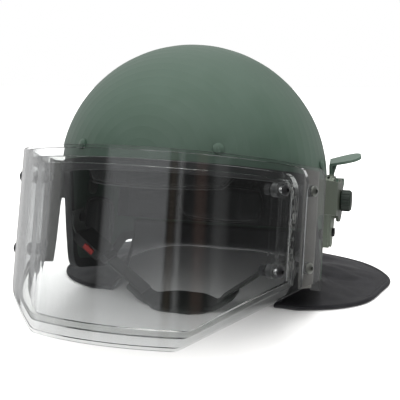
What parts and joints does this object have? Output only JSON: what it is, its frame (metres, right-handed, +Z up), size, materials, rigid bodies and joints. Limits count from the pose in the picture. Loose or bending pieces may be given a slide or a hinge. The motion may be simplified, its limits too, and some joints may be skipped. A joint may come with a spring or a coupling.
{
  "type": "riot helmet",
  "caption": "Domed protective helmet with ear flaps, a layered hinged face shield, side latch levers, a chin strap with a cup and a flared neck guard.",
  "frame": {"origin": "middle of the standing helmet's box, on the surface that it stands on", "axes": "+Z up, -Y to the front, where the face shield is, +X to the wearer's left"},
  "size_m": [0.3524, 0.4168, 0.2456],
  "materials": {
    "green_shell": "satin",
    "green_metal": "satin",
    "black_rubber": "matte",
    "foam": "matte",
    "pad_cloth": "woven",
    "guard_leather": "grained",
    "clear_pane": "polished",
    "seal": "satin",
    "bracket_metal": "brushed",
    "steel": "satin",
    "black_steel": "black oxide",
    "webbing": "woven",
    "black_plastic": "satin",
    "red_plastic": "satin"
  },
  "bodies": {
    "helmet": {"shell": "green_shell", "rim_trim": "black_rubber", "impact_liner": "foam", "crown_pad": "pad_cloth", "brow_pad": "pad_cloth", "rear_pad": "pad_cloth", "side_pad_l": "pad_cloth", "side_pad_r": "pad_cloth", "ear_pad_l": "pad_cloth", "ear_pad_r": "pad_cloth", "liner_screws": "green_metal", "neck_guard": "guard_leather", "neck_guard_studs": "black_steel", "pivot_housing_l": "green_shell", "pivot_housing_r": "green_shell", "housing_screws": "black_steel", "pivot_bolt_l": "steel", "pivot_bolt_r": "steel", "friction_washer_l": "black_rubber", "friction_washer_r": "black_rubber", "latch_pin_l": "steel", "latch_pin_r": "steel", "strap_l": "webbing", "strap_r": "webbing", "buckle_strap": "webbing", "strap_rivets": "black_steel", "chin_cup": "guard_leather", "buckle_body": "black_plastic", "buckle_tongue": "black_plastic"},
    "visor": {"outer_pane": "clear_pane", "middle_pane": "clear_pane", "pane_seal": "seal", "inner_pane": "clear_pane", "bracket_l": "bracket_metal", "bracket_r": "bracket_metal", "front_screws": "black_steel", "rear_screws": "steel", "visor_nuts": "black_steel", "gap_spacers": "seal"},
    "knob_l": {"knob_l": "black_plastic"},
    "knob_r": {"knob_r": "black_plastic"},
    "latch_lever_l": {"latch_lever_l": "green_metal"},
    "latch_lever_r": {"latch_lever_r": "green_metal"},
    "buckle_button": {"buckle_button": "red_plastic"}
  },
  "joints": [
    {"name": "visor_hinge", "type": "hinge", "parent": "helmet", "child": "visor", "pos_m": [0, 0.02117, 0.10202], "axis": [-1, 0, 0], "range_deg": [0, 75]},
    {"name": "knob_l_turn", "type": "hinge", "parent": "helmet", "child": "knob_l", "pos_m": [0.146, 0.02117, 0.10202], "axis": [1, 0, 0], "range_deg": [0, 360]},
    {"name": "knob_r_turn", "type": "hinge", "parent": "helmet", "child": "knob_r", "pos_m": [-0.146, 0.02117, 0.10202], "axis": [-1, 0, 0], "range_deg": [0, 360]},
    {"name": "latch_lever_l_lift", "type": "hinge", "parent": "helmet", "child": "latch_lever_l", "pos_m": [0.1295, 0.04605, 0.11692], "axis": [0, -0.9755, 0.2198], "range_deg": [0, 8], "stiffness_Nm_per_rad": 0.5, "springref_deg": -5.73},
    {"name": "latch_lever_r_lift", "type": "hinge", "parent": "helmet", "child": "latch_lever_r", "pos_m": [-0.1295, 0.04605, 0.11692], "axis": [0, 0.9755, -0.2198], "range_deg": [0, 8], "stiffness_Nm_per_rad": 0.5, "springref_deg": -5.73},
    {"name": "buckle_button_press", "type": "slide", "parent": "helmet", "child": "buckle_button", "axis": [0, 1, 0], "range_m": [0, 0.002], "stiffness_N_per_m": 600, "springref_m": -0.001}
  ]
}
